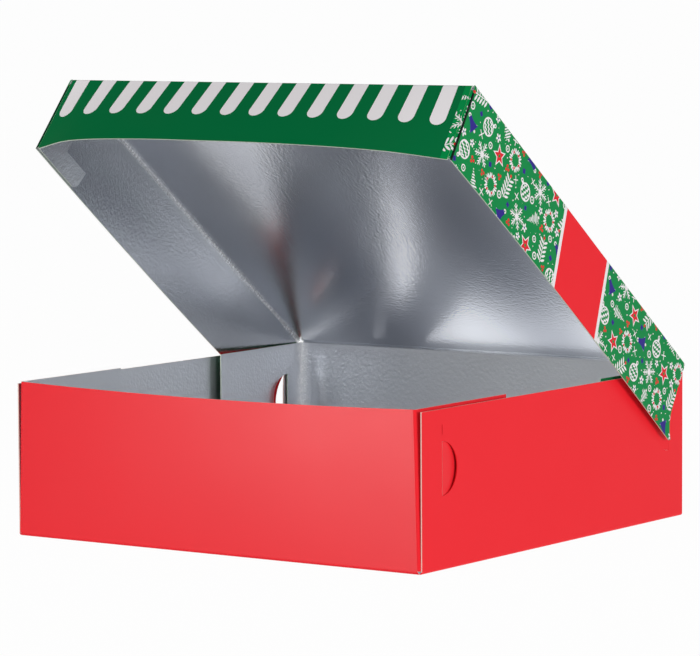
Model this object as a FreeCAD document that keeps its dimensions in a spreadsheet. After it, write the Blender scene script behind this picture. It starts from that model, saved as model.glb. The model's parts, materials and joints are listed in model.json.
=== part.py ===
import FreeCAD, Part
import math
import os
import Sketcher
from FreeCAD import Placement, Rotation, Vector

# A hinged-lid bakery box, folded from one sheet of foil-lined board.
# It stands on its base: X runs along the front, Y to the back, Z up, origin under the base's middle.

# Driving sizes, in millimetres and degrees
driving_sizes = {
    "board": 0.6,
    "fold_radius": 1.2,
    "nest_gap": 0.1,
    "lid_clearance": 0.35,
    "tray_width": 239.4,
    "tray_depth": 240.0,
    "tray_height": 76.4,
    "side_wall_height": 75.2,
    "side_wall_setback": 1.2,
    "corner_gap": 2.0,
    "front_bow": 2.2,
    "front_dip": 1.6,
    "flap_length": 78.0,
    "flap_lift": 0.4,
    "flap_corner": 3.0,
    "lock_radius": 12.9,
    "lock_height": 47.4,
    "lock_play": 0.3,
    "window_play": 0.8,
    "window_rim": 0.2,
    "slit_width": 0.4,
    "slit_length": 4.6,
    "slit_gap": 3.0,
    "front_lock_inset": 18.2,
    "back_lock_inset": 15.0,
    "crease_gap": 0.2,
    "flange_height": 42.0,
    "flange_lean": 2.3,
    "side_flange_bow": 2.3,
    "front_flange_bow": 10.8,
    "flange_setback": 0.4,
    "rear_edge_height": 26.0,
    "rear_setback": 0.6,
    "rear_flare": 6.4,
    "flare_height": 40.8,
    "tip_round": 1.6,
    "lid_flap_length": 19.0,
    "hook_length": 38.0,
    "hook_drop": 31.0,
    "hook_corner": 4.0,
    "lid_flap_top": 3.0,
    "lid_flap_shoulder": 13.0,
    "lid_flap_strip": 0.4,
    "lid_flap_bottom": 40.4,
    "hook_slit_start": 28.1,
    "hook_slit_length": 4.2,
    "hook_slit_rise": 2.2,
    "hook_slit_drop": 32.8,
    "lid_open_angle": 37.0,
    "cut_overrun": 5.0,
}

# How far each corner flap stands off its side wall at the free end, and how far its lock is pushed in
corners = {
    "front_left": {"side": -1, "end": -1, "stand_off": 0.8, "push_angle": 12.0},
    "front_right": {"side": 1, "end": -1, "stand_off": 0.5, "push_angle": 7.0},
    "back_left": {"side": -1, "end": 1, "stand_off": 3.6, "push_angle": 33.0},
    "back_right": {"side": 1, "end": 1, "stand_off": 1.2, "push_angle": 2.0},
}

# The lid front flange's free edge: shares of its half width, and of its bow there
flange_edge_shares = [(-1, 0), (-0.8, 0.72), (-0.45, 0.98), (0, 0.97), (0.35, 0.85), (0.73, 0.53), (1, 0)]

doc = FreeCAD.newDocument("bakery_box")
sheet = doc.addObject("Spreadsheet::Sheet", "Sizes")


class Size:
    # A length: its number, and the sheet formula that gives it

    def __init__(self, number, formula):
        self.number = number
        self.formula = formula

    def joined(self, sign, other, number):
        text = other.formula if isinstance(other, Size) else str(other)
        return Size(number, f"({self.formula} {sign} {text})")

    def __add__(self, other):
        return self.joined("+", other, self.number + number_of(other))

    def __sub__(self, other):
        return self.joined("-", other, self.number - number_of(other))

    def __mul__(self, other):
        return self.joined("*", other, self.number * number_of(other))

    def __truediv__(self, other):
        return self.joined("/", other, self.number / number_of(other))

    def __neg__(self):
        return self * -1

    __rmul__ = __mul__


def number_of(value):
    return value.number if isinstance(value, Size) else value


def fill_sheet():
    # Writes the driving sizes to the sheet and returns each one by its name
    values = dict(driving_sizes)
    for corner, facts in corners.items():
        values[corner + "_stand_off"] = facts["stand_off"]
        values[corner + "_push_angle"] = facts["push_angle"]
    for row, (name, value) in enumerate(values.items(), start=1):
        sheet.set(f"A{row}", name)
        sheet.set(f"B{row}", str(value))
        sheet.setAlias(f"B{row}", name)
    doc.recompute()
    return {name: Size(sheet.get(name), "Sizes." + name) for name in values}


size = fill_sheet()
zero = Size(0, "0")
board = size["board"]
bend = size["fold_radius"]
overrun = size["cut_overrun"]

# The tray's faces
side_face = size["tray_width"] / 2
end_face = size["tray_depth"] / 2
height = size["tray_height"]
flap_face = side_face - board - size["nest_gap"]
end_wall_half = flap_face - bend
side_wall_half = end_face - size["side_wall_setback"]

# The lid's faces, with the lid closed
hinge_y = end_face + size["lid_clearance"]
hinge_z = height + size["lid_clearance"]
lid_top = hinge_z + board
lid_side = side_face + size["lid_clearance"] + board
lid_front = end_face + size["front_bow"] + size["lid_clearance"] + board
lid_bottom = lid_top - size["flange_height"]
lid_flap_face = lid_side - board - size["nest_gap"]
front_flange_half = lid_flap_face - bend - size["nest_gap"]
lean_angle = math.degrees(math.atan2(size["flange_lean"].number, (size["flange_height"] - bend).number))


def make_body(name):
    body = doc.addObject("PartDesign::Body", name)
    body.Label = name
    return body


def make_sketch(body, plane, points, offset=zero):
    # Closes an outline on one of the body's own planes. A point is (across, up), and the side after it
    # is straight, or an arc when the point also has a radius and whether the arc turns left.
    sketch = body.newObject("Sketcher::SketchObject", body.Name + "_outline")
    found = [feature for feature in body.Origin.OriginFeatures if feature.Role == plane]
    sketch.AttachmentSupport = [(found[0], "")]
    sketch.MapMode = "FlatFace"
    sketch.AttachmentOffset = Placement(Vector(0, 0, offset.number), Rotation())
    sketch.setExpression("AttachmentOffset.Base.z", offset.formula)
    ends = []
    for index, point in enumerate(points):
        ahead = points[(index + 1) % len(points)]
        start = Vector(point[0].number, point[1].number, 0)
        finish = Vector(ahead[0].number, ahead[1].number, 0)
        if len(point) == 2:
            sketch.addGeometry(Part.LineSegment(start, finish), False)
            ends.append((1, 2))
            continue
        radius, turns_left = point[2], point[3]
        chord = finish - start
        inward = Vector(-chord.y, chord.x, 0).normalize() * (1 if turns_left else -1)
        rise = math.sqrt(max(radius.number**2 - chord.Length**2 / 4, 0))
        circle = Part.Circle((start + finish) / 2 + inward * rise, Vector(0, 0, 1), radius.number)
        first, last = (start, finish) if turns_left else (finish, start)
        arc = Part.ArcOfCircle(circle, circle.parameter(first), circle.parameter(last))
        sketch.addGeometry(arc, False)
        ends.append((1, 2) if turns_left else (2, 1))
    for index, point in enumerate(points):
        ahead = (index + 1) % len(points)
        sketch.addConstraint(Sketcher.Constraint("Coincident", index, ends[index][1], ahead, ends[ahead][0]))
        bind(sketch, f"across{index}", "DistanceX", (-1, 1, index, ends[index][0]), point[0])
        bind(sketch, f"up{index}", "DistanceY", (-1, 1, index, ends[index][0]), point[1])
        if len(point) > 2:
            bind(sketch, f"radius{index}", "Radius", (index,), point[2])
    doc.recompute()
    return sketch


def bind(sketch, name, kind, places, value):
    # One dimension of a sketch, tied to the sheet
    number = sketch.addConstraint(Sketcher.Constraint(kind, *places, float(value.number)))
    sketch.renameConstraint(number, name)
    sketch.setExpression("Constraints." + name, value.formula)


def add_pad(body, sketch, length, symmetric=False):
    pad = body.newObject("PartDesign::Pad", body.Name + "_pad")
    pad.Profile = sketch
    pad.SideType = "Symmetric" if symmetric else "One side"
    pad.Length = length.number
    pad.setExpression("Length", length.formula)
    doc.recompute()


def add_loft(body, near, far):
    loft = body.newObject("PartDesign::AdditiveLoft", body.Name + "_panel")
    loft.Profile = near
    loft.Sections = [far]
    loft.Ruled = True
    doc.recompute()


def cut_through(body, plane, points):
    # Cuts an outline right through the body, and stops if nothing came away
    before = body.Shape.Volume
    sketch = make_sketch(body, plane, points)
    pocket = body.newObject("PartDesign::Pocket", body.Name + "_cut")
    pocket.Profile = sketch
    pocket.Type = "ThroughAll"
    pocket.SideType = "Symmetric"
    doc.recompute()
    if body.Shape.Volume >= before:
        raise RuntimeError(f"{body.Label}: the cut {pocket.Name} removed nothing")


def rectangle(low_across, low_up, high_across, high_up):
    return [(low_across, low_up), (high_across, low_up), (high_across, high_up), (low_across, high_up)]


def bent_sheet(side, face, level, rise, length=None, lean=zero):
    # The section of board that turns a corner. It leaves a panel whose outer face is at level, turns
    # through a quarter circle in the rise direction at face, and runs on to length from level.
    inner = bend - board
    left = side * rise > 0
    start = level + bend * rise
    points = [(side * (face - bend), level, bend, left), (side * face, start)]
    if length:
        points += [
            (side * (face - lean), level + length * rise),
            (side * (face - lean - board), level + length * rise),
        ]
    points += [(side * (face - board), start, inner, not left), (side * (face - bend), level + board * rise)]
    return points


def half_moon(chord, direction, radius, grow):
    # A half disc standing on its chord, as two quarter arcs, with its chord moved back by grow
    middle = size["lock_height"]
    left = direction > 0
    return [
        (chord - grow * direction, middle - radius),
        (chord, middle - radius, radius, left),
        (chord + radius * direction, middle, radius, left),
        (chord, middle + radius),
        (chord - grow * direction, middle + radius),
    ]


def lock_chord(facts):
    # Where a lock's crease line stands, along the side wall
    inset = size["front_lock_inset"] if facts["end"] < 0 else size["back_lock_inset"]
    return (end_face - inset) * facts["end"]


def make_base():
    body = make_body("base_panel")
    half_width, half_depth = side_face - bend, end_face - bend
    sketch = make_sketch(body, "XY_Plane", rectangle(-half_width, -half_depth, half_width, half_depth))
    add_pad(body, sketch, board)
    return body


def make_front_wall():
    # The front wall narrows upwards. Its top edge bows outwards and dips a little in the middle.
    body = make_body("front_wall")
    top_half = end_wall_half - size["corner_gap"]
    chord = top_half * 2
    bow_radius = chord * chord / (size["front_bow"] * 8) + size["front_bow"] / 2
    near = make_sketch(
        body, "XY_Plane", rectangle(-end_wall_half, -end_face, end_wall_half, board - end_face), bend
    )
    far = make_sketch(
        body,
        "XY_Plane",
        [
            (-top_half, -end_face, bow_radius, True),
            (top_half, -end_face),
            (top_half, board - end_face, bow_radius, False),
            (-top_half, board - end_face),
        ],
        height,
    )
    add_loft(body, near, far)
    fold = make_sketch(body, "YZ_Plane", bent_sheet(-1, end_face, zero, 1))
    add_pad(body, fold, end_wall_half * 2, symmetric=True)
    dip_radius = chord * chord / (size["front_dip"] * 8) + size["front_dip"] / 2
    top = height + overrun
    cut_through(
        body,
        "XZ_Plane",
        [
            (-top_half, height, dip_radius, True),
            (top_half, height),
            (top_half, top),
            (-top_half, top),
        ],
    )
    return body


def make_back_wall():
    body = make_body("back_wall")
    section = make_sketch(body, "YZ_Plane", bent_sheet(1, end_face, zero, 1, height))
    add_pad(body, section, end_wall_half * 2, symmetric=True)
    return body


def make_side_wall(name, side):
    # A side wall has two half-moon windows, which its lock tongues fill, and a slit above each one
    body = make_body(name)
    section = make_sketch(body, "XZ_Plane", bent_sheet(side, side_face, zero, 1, size["side_wall_height"]))
    add_pad(body, section, side_wall_half * 2, symmetric=True)
    slit_low = size["lock_height"] + size["lock_radius"] + size["slit_gap"]
    for facts in corners.values():
        if facts["side"] != side:
            continue
        chord = lock_chord(facts)
        cut_through(body, "YZ_Plane", half_moon(chord, -facts["end"], size["lock_radius"], size["lock_play"]))
        half_slit = size["slit_width"] / 2
        slit = rectangle(chord - half_slit, slit_low, chord + half_slit, slit_low + size["slit_length"])
        cut_through(body, "YZ_Plane", slit)
    return body


def make_corner_flap(name, facts):
    # A flap turns in from the front or back wall and lies inside the side wall, its window over the lock.
    # At the front it follows the narrowing wall, so the corner gapes a little at the top.
    body = make_body(name)
    end = facts["end"]
    bottom = bend + size["flap_lift"]
    lean = size[name.replace("_flap", "_stand_off")]
    gape = size["corner_gap"] if end < 0 else zero
    sections = []
    for level, gap in ((bottom, gape * size["flap_lift"] / (height - bend)), (height, gape)):
        outline = bent_sheet(facts["side"], flap_face - gap, end_face * end, -end, size["flap_length"], lean)
        sections.append(make_sketch(body, "XY_Plane", outline, level))
    add_loft(body, *sections)
    window_radius = size["lock_radius"] + size["window_rim"]
    cut_through(body, "YZ_Plane", half_moon(lock_chord(facts), -end, window_radius, size["window_play"]))
    tip = (end_face - size["flap_length"]) * end
    corner = size["flap_corner"]
    cut_through(
        body,
        "YZ_Plane",
        [
            (tip, bottom + corner, corner, end > 0),
            (tip + corner * end, bottom),
            (tip + corner * end, bottom - overrun),
            (tip - overrun * end, bottom - overrun),
            (tip - overrun * end, bottom + corner),
        ],
    )
    return body


def make_lock(name, facts):
    # A half-moon tongue of the side wall, turned inwards about its chord on the wall's inner face
    body = make_body(name)
    side, end = facts["side"], facts["end"]
    chord = lock_chord(facts)
    reach = size["lock_radius"] - size["lock_play"]
    inner_face = (side_face - board) * side
    near_face = inner_face if side > 0 else -side_face
    sketch = make_sketch(body, "YZ_Plane", half_moon(chord, -end, reach, zero)[1:4], near_face)
    add_pad(body, sketch, board)
    push = size[name.replace("_lock", "_push_angle")].number * -side * end
    hinge = Vector(inner_face.number, chord.number, 0)
    body.Placement = turned_about(hinge, Vector(0, 0, 1), push)
    return body


def turned_about(point, axis, angle):
    return Placement(Vector(), Rotation(axis, angle), point)


def lid_placement():
    # Opens the closed lid about its crease
    hinge = Vector(0, hinge_y.number, hinge_z.number)
    return turned_about(hinge, Vector(-1, 0, 0), size["lid_open_angle"].number)


def make_lid_panel():
    body = make_body("lid_panel")
    half_width = lid_side - bend
    outline = rectangle(-half_width, bend - lid_front, half_width, hinge_y - size["crease_gap"])
    add_pad(body, make_sketch(body, "XY_Plane", outline, hinge_z), board)
    body.Placement = lid_placement()
    return body


def make_front_flange():
    # The front flange hangs straight from its crease and bows outwards along its free edge
    name = "lid_front_flange"
    crease_half = front_flange_half.number
    edge_half = crease_half + size["flange_lean"].number
    front, bow = -lid_front.number, size["front_flange_bow"].number
    top, bottom = (lid_top - bend).number, lid_bottom.number
    crease = Part.LineSegment(Vector(-crease_half, front, top), Vector(crease_half, front, top)).toShape()
    edge_points = [
        Vector(half_share * edge_half, front - bow_share * bow, bottom)
        for half_share, bow_share in flange_edge_shares
    ]
    curve = Part.BSplineCurve()
    curve.interpolate(edge_points)
    thickness = Vector(0, board.number, 0)
    panel = Part.makeRuledSurface(crease, curve.toShape()).extrude(thickness)
    roll = Part.makeCylinder(bend.number, crease_half * 2, Vector(-crease_half, 0, 0), Vector(1, 0, 0), 360)
    core = Part.makeCylinder(
        (bend - board).number, crease_half * 2, Vector(-crease_half, 0, 0), Vector(1, 0, 0), 360
    )
    quarter = Part.makeBox(crease_half * 2, bend.number, bend.number, Vector(-crease_half, -bend.number, 0))
    fold = roll.cut(core).common(quarter)
    fold.translate(Vector(0, front + bend.number, top))
    flange = doc.addObject("Part::Feature", name)
    flange.Label = name
    flange.Shape = panel.fuse(fold).removeSplitter()
    flange.Placement = lid_placement()
    return flange


def make_side_flange(name, side):
    # A side flange leans out, bows in its middle and curves back past the crease at its rear corner
    body = make_body(name)
    lean, bow = size["flange_lean"], size["side_flange_bow"]
    front = size["flange_setback"] - lid_front
    rear = hinge_y + size["rear_flare"]
    span = rear - front
    bow_radius = span * span / (bow * 8) + bow / 2
    inner, outer = (lid_side - board) * side, lid_side * side
    shift = lean * side
    left = side > 0
    near = [(inner, front), (outer, front), (outer, rear), (inner, rear)]
    far = [
        (inner + shift, front),
        (outer + shift, front, bow_radius, left),
        (outer + shift, rear),
        (inner + shift, rear, bow_radius, not left),
    ]
    add_loft(
        body,
        make_sketch(body, "XY_Plane", near, lid_top - bend),
        make_sketch(body, "XY_Plane", far, lid_bottom),
    )
    fold = make_sketch(body, "XZ_Plane", bent_sheet(side, lid_side, lid_top, -1), -hinge_y)
    add_pad(body, fold, hinge_y - front)
    square_end = hinge_y - size["rear_setback"]
    flare = rear - square_end
    flare_drop = size["flare_height"] - size["rear_edge_height"]
    flare_radius = flare / 2 + flare_drop * flare_drop / (flare * 2)
    tip_height = lid_top - size["flare_height"]
    far_rear = rear + overrun
    cut_through(
        body,
        "YZ_Plane",
        [
            (square_end, lid_top + overrun),
            (square_end, lid_top - size["rear_edge_height"], flare_radius, True),
            (rear, tip_height, size["tip_round"], False),
            (rear - size["tip_round"], lid_bottom),
            (rear - size["tip_round"], lid_bottom - overrun),
            (far_rear, lid_bottom - overrun),
            (far_rear, lid_top + overrun),
        ],
    )
    slit = size["slit_width"]
    slit_front = size["hook_slit_start"] - lid_front
    slit_rear = slit_front + size["hook_slit_length"]
    slit_level = lid_top - size["hook_slit_drop"]
    slit_peak = slit_level + size["hook_slit_rise"]
    cut_through(
        body,
        "YZ_Plane",
        [
            (slit_front, slit_level),
            (slit_rear, slit_level),
            (slit_rear, slit_level + slit),
            (slit_front + slit, slit_level + slit),
            (slit_front + slit, slit_peak),
            (slit_front, slit_peak),
        ],
    )
    body.Placement = lid_placement()
    return body


def make_lid_flap(name, side):
    # The lid's corner flap lies inside the side flange, with a long hook along its lower edge. Above its
    # shoulder only its fold goes on, so it stays clear of the side wall's top when the lid is shut.
    body = make_body(name)
    section = bent_sheet(side, lid_flap_face, -lid_front, 1, size["hook_length"])
    low = lid_top - size["lid_flap_bottom"]
    high = lid_top - size["lid_flap_top"]
    add_pad(body, make_sketch(body, "XY_Plane", section, low), high - low)
    strip = bend + size["lid_flap_strip"] - lid_front
    shoulder = lid_top - size["lid_flap_shoulder"]
    step = size["lid_flap_length"] - lid_front
    tip = size["hook_length"] - lid_front
    hook_top = lid_top - size["hook_drop"]
    corner = size["hook_corner"]
    cut_through(
        body,
        "YZ_Plane",
        [
            (strip, shoulder),
            (step, shoulder),
            (step, hook_top),
            (tip + overrun, hook_top),
            (tip + overrun, high + overrun),
            (strip, high + overrun),
        ],
    )
    cut_through(
        body,
        "YZ_Plane",
        [
            (tip - corner, low, corner, True),
            (tip, low + corner),
            (tip + overrun, low + corner),
            (tip + overrun, low - overrun),
            (tip - corner, low - overrun),
        ],
    )
    pivot = Vector(side * lid_flap_face.number, 0, (lid_top - bend).number)
    body.Placement = lid_placement() * turned_about(pivot, Vector(0, 1, 0), -side * lean_angle)
    return body


def make_all():
    pieces = [make_base(), make_front_wall(), make_back_wall()]
    for hand, side in (("left", -1), ("right", 1)):
        pieces.append(make_side_wall(hand + "_wall", side))
    for corner, facts in corners.items():
        pieces.append(make_corner_flap(corner + "_flap", facts))
        pieces.append(make_lock(corner + "_lock", facts))
    pieces += [make_lid_panel(), make_front_flange()]
    for hand, side in (("left", -1), ("right", 1)):
        pieces.append(make_side_flange(f"lid_{hand}_flange", side))
        pieces.append(make_lid_flap(f"lid_{hand}_corner_flap", side))
    return pieces


def write_pieces(pieces):
    # Checks every object of the document, then writes each piece to a file of its own name
    doc.recompute()
    for thing in doc.Objects:
        if "Invalid" in thing.State or "Error" in thing.State:
            raise RuntimeError(f"{thing.Label} is {thing.State}")
    for piece in pieces:
        shape = piece.Shape
        if shape.isNull() or not shape.isValid() or len(shape.Solids) != 1:
            raise RuntimeError(f"{piece.Label} is not one sound solid")
    os.makedirs("parts", exist_ok=True)
    for piece in pieces:
        piece.Shape.exportStep(f"parts/{piece.Label}.step")
        print(piece.Label, round(piece.Shape.Volume, 1))


write_pieces(make_all())
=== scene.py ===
import bmesh
import bpy
import json
import math
from mathutils import Matrix, Vector, noise


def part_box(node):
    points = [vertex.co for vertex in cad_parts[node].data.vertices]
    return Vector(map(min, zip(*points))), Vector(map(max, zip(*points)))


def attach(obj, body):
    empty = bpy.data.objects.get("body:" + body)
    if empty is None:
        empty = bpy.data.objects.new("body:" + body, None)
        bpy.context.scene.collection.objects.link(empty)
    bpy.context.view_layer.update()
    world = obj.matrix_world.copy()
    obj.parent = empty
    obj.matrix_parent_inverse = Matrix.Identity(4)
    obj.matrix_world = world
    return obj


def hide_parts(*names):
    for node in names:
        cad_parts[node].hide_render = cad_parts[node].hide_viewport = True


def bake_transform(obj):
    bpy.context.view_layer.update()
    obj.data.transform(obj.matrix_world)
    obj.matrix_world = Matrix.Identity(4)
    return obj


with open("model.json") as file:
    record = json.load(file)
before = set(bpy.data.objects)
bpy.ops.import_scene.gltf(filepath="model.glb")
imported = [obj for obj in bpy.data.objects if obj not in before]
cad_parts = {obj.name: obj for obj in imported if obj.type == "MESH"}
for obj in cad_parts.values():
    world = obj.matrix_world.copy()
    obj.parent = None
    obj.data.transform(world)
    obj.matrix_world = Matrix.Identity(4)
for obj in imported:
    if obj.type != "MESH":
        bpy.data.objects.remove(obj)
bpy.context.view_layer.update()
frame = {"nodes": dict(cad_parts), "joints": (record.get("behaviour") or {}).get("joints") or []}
print("frame loaded")

mm = 0.001

# What the board is like all over
board = {
    "cellPitch": 6 * mm,
    "foldSteps": 7,
    "foldGuard": 0.5 * mm,
    "foldReach": 0.75 * mm,
    "endBand": 0.1 * mm,
    "cutTolerance": 1e-7,
    "kerf": 0.1 * mm,
    "arcSteps": 20,
    "cornerSteps": 6,
    "cornerGap": 2 * mm,
}

# The tray's sizes, read from the frame
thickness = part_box("base_panel")[1].z
baseHalfWidth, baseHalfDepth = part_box("base_panel")[1].xy
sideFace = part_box("right_wall")[1].x
endFace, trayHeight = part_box("back_wall")[1].yz
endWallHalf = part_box("back_wall")[1].x
sideWallHalf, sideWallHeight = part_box("right_wall")[1].yz
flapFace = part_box("back_right_flap")[1].x
foldRadius = endFace - baseHalfDepth
foldLength = foldRadius * math.pi / 2
wallRun = foldLength - foldRadius

# The lid's sizes, read with the lid shut
lidJoint = next(joint for joint in frame["joints"] if joint["name"] == "lid_hinge")
hinge = Vector(lidJoint["pos_m"])
openTurn = Matrix.Rotation(-math.radians(lidJoint["range_deg"][0]), 4, Vector(lidJoint["axis"]))
openLid = Matrix.Translation(hinge) @ openTurn @ Matrix.Translation(-hinge)


def shutBox(node):
    # the corners of one of the lid's pieces once the lid is shut
    points = [openLid.inverted() @ vertex.co for vertex in frame["nodes"][node].data.vertices]
    low = Vector(min(point[axis] for point in points) for axis in range(3))
    high = Vector(max(point[axis] for point in points) for axis in range(3))
    return low, high


panelLow, panelHigh = shutBox("lid_panel")
lidTop = panelHigh.z
lidPanelHalf = panelHigh.x
lidFront = panelLow.y - foldRadius
lidBottom = shutBox("lid_front_flange")[0].z
flangeHeight = lidTop - lidBottom
flangeRun = foldLength + flangeHeight - foldRadius
flangeLean = 2.3 * mm
flangeBow = 2.27 * mm
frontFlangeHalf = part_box("lid_front_flange")[1].x - flangeLean
sideFlangeLow, sideFlangeHigh = shutBox("lid_right_flange")


# Shader maths

class Wire:
    # a socket that carries a number, a vector or a colour

    def __init__(self, paint, socket):
        self.paint, self.socket = paint, socket

    def maths(self, operation, *others):
        inputs = {str(index): wire for index, wire in enumerate((self, *others))}
        return self.paint.node("ShaderNodeMath", {"operation": operation}, inputs)

    def __add__(self, other):
        return self.maths("ADD", other)

    def __sub__(self, other):
        return self.maths("SUBTRACT", other)

    def __mul__(self, other):
        return self.maths("MULTIPLY", other)

    def __truediv__(self, other):
        return self.maths("DIVIDE", other)

    def __mod__(self, other):
        return self.maths("FLOORED_MODULO", other)

    def __lt__(self, other):
        return self.maths("LESS_THAN", other)

    def __gt__(self, other):
        return self.maths("GREATER_THAN", other)

    def __or__(self, other):
        return self.maths("MAXIMUM", other)

    def __and__(self, other):
        return self.maths("MINIMUM", other)

    def __abs__(self):
        return self.maths("ABSOLUTE")

    def __rsub__(self, other):
        return self * -1 + other

    __radd__ = __add__
    __rmul__ = __mul__


class Paint:
    # the nodes of a material or of the world, all made by one method

    def __init__(self, owner):
        owner.use_nodes = True
        self.owner = owner
        self.tree = owner.node_tree
        self.shader = self.tree.nodes.get("Principled BSDF")

    def node(self, kind, settings=None, inputs=None, output=0):
        made = self.tree.nodes.new(kind)
        for name, setting in (settings or {}).items():
            setattr(made, name, setting)
        for name, source in (inputs or {}).items():
            self.link(source, made.inputs[int(name) if name.isdigit() else name])
        return Wire(self, made.outputs[output])

    def link(self, source, socket):
        if isinstance(source, Wire):
            self.tree.links.new(source.socket, socket)
        else:
            socket.default_value = source

    def seen(self):
        # 1 for what the camera sees, also in the foil
        camera = self.node("ShaderNodeLightPath", output="Is Camera Ray")
        return camera | self.node("ShaderNodeLightPath", output="Is Glossy Ray")

    def coordinates(self):
        return self.node("ShaderNodeTexCoord", output="Object")

    def parts(self, vector):
        first = self.node("ShaderNodeSeparateXYZ", inputs={"Vector": vector})
        return [Wire(self, socket) for socket in first.socket.node.outputs]

    def vector(self, x, y):
        return self.node("ShaderNodeCombineXYZ", inputs={"X": x, "Y": y})

    def blank(self):
        # the print's own u and v, in millimetres
        u, v, _ = self.parts(self.node("ShaderNodeUVMap", {"uv_map": "blank"}))
        return u / mm, v / mm

    def mix(self, share, low, high):
        # sockets 0, 6 and 7 are the factor and the two colours
        inputs = {"0": share, "6": low, "7": high}
        return self.node("ShaderNodeMix", {"data_type": "RGBA"}, inputs, output=2)

    def noise(self, scale, detail=2.0, roughness=0.5):
        inputs = {"Vector": self.coordinates(), "Scale": scale, "Detail": detail, "Roughness": roughness}
        return self.node("ShaderNodeTexNoise", inputs=inputs)

    def bump(self, height, distance, strength=1.0, normal=None):
        inputs = {"Height": height, "Distance": distance, "Strength": strength}
        if normal:
            inputs["Normal"] = normal
        return self.node("ShaderNodeBump", inputs=inputs)

    def set(self, **sockets):
        for name, source in sockets.items():
            self.link(source, self.shader.inputs[name.replace("_", " ")])


def newPaint(name):
    return Paint(bpy.data.materials.new(name))


def srgb(red, green, blue):
    # a colour as a screen shows it, from 0 to 255, as the shader counts it
    def linear(level):
        share = level / 255
        return share / 12.92 if share <= 0.04045 else ((share + 0.055) / 1.055) ** 2.4

    return (linear(red), linear(green), linear(blue), 1)


inks = {
    "red": srgb(244, 36, 47),
    "green": srgb(0, 110, 60),
    "leaf": srgb(0, 138, 70),
    "white": srgb(240, 236, 238),
    "navy": srgb(48, 40, 138),
    "cherry": srgb(226, 36, 48),
    # a dark green painted as the shadow at the side flanges' front ends
    "shade": srgb(10, 34, 24),
}

printLook = {
    "roughness": 0.42,
    "haze": 0.1,
    "hazeScale": 25.0,
    "fibre": 0.02 * mm,
    "fibreStrength": 0.35,
    "fibreScale": 900.0,
    "wear": 0.03,
    "worn": srgb(90, 70, 70),
}


def finishPrint(paint, colour, specular):
    # printed board: smooth, with a faint fibre and a faintly uneven tone
    fibre = paint.noise(printLook["fibreScale"], detail=3.0, roughness=0.6)
    haze = paint.noise(printLook["hazeScale"])
    paint.set(
        Base_Color=paint.mix(printLook["wear"] * haze, colour, printLook["worn"]),
        Roughness=printLook["roughness"] + printLook["haze"] * (haze - 0.5),
        Specular_IOR_Level=specular,
        Normal=paint.bump(fibre, printLook["fibre"], printLook["fibreStrength"]),
    )
    return paint.owner


def makePlainPrint(name, ink, specular):
    return finishPrint(newPaint(name), inks[ink], specular)


# The lid's print: a generic winter pattern, a slanted ribbon, a striped front edge, and a painted shadow at
# the front end of each side flange. All its sizes are in millimetres on the flat blank, where u runs across
# the lid and v towards its hinge.
lidPrint = {
    "cell": 15.2,
    "rowShare": 0.9,
    "wander": 1.4,
    "chanceStride": 17,
    "large": 6.4,
    "largeShift": (0, 0),
    "largeClear": 7.04,
    "small": 2.3,
    "smallShift": (0.5, 0.34),
    "smallClear": 2.9,
    "tiny": 2.07,
    "tinyShift": (0, 0.66),
    "dotPitch": 3.6,
    "dotRadius": 0.42,
    "dotLean": 0.5,
    "dotRise": 0.87,
    "dotDrift": 0.1,
    "ribbonMiddle": 1.0,
    "ribbonSlope": 0.16,
    "ribbonHalf": 23.0,
    "ribbonBorder": 2.6,
    "frontMargin": 14.0,
    "bleed": 3.5,
    "stripeFirst": -111.9,
    "stripePitch": 16.83,
    "stripeCount": 14,
    "stripeWidth": 8.4,
    "stripeDrop": 24.5,
    "stripeTop": 8.0,
    # where the painted shadow at the side flanges' front ends lies
    "seamStart": 5.0,
    "seamWidth": 0.9,
    "seamBleed": 0.1,
    "specular": 0.05,
}


def radiusOf(x, y):
    return (x * x + y * y).maths("SQRT")


def folded(x, y, count):
    # (along, across) the middle line of the nearest of count equal sectors
    sector = 2 * math.pi / count
    turn = abs(y.maths("ARCTAN2", x) % sector - sector / 2)
    radius = radiusOf(x, y)
    return radius * turn.maths("COSINE"), radius * turn.maths("SINE")


def ellipse(x, y, halfX, halfY):
    return radiusOf(x / halfX, y / halfY) < 1


def between(value, low, high):
    return (value > low) & (value < high)


# Each motif is drawn about its own middle, and all its parts are shares of its size.

def drawSnowflake(x, y, size):
    line, forkStart, forkPitch = 0.05 * size, 0.1 * size, 0.26 * size
    twigReach, twigEnd = 0.23 * size, 0.92 * size
    along, across = folded(x, y, 6)
    arm = (across < line) & (along < size)
    fork = (along - forkStart) % forkPitch
    twig = (abs(fork - across) < line) & (across < twigReach) & (along < twigEnd)
    return {"white": arm | twig}


def drawFir(x, y, size):
    # a tree of tiers, with slanted garlands left out of its white
    foot, trunkTop, trunkHalf = 0.8 * size, 0.78 * size, 0.1 * size
    tierHeight, spread, taper = 0.42 * size, 0.36, 0.55
    garlandPitch, garlandLean, garlandHalf = 0.21 * size, 0.08, 0.2
    tier = ((y + size) / tierHeight) % 1
    width = (size - y) * spread * (1 - taper * tier)
    tree = (abs(x) < width) & between(y, -foot, size)
    trunk = (abs(x) < trunkHalf) & between(y, -size, -trunkTop)
    garland = abs((y / garlandPitch + garlandLean * x) % 1 - 0.5) < garlandHalf
    return {"white": (tree & (1 - garland)) | trunk}


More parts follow.
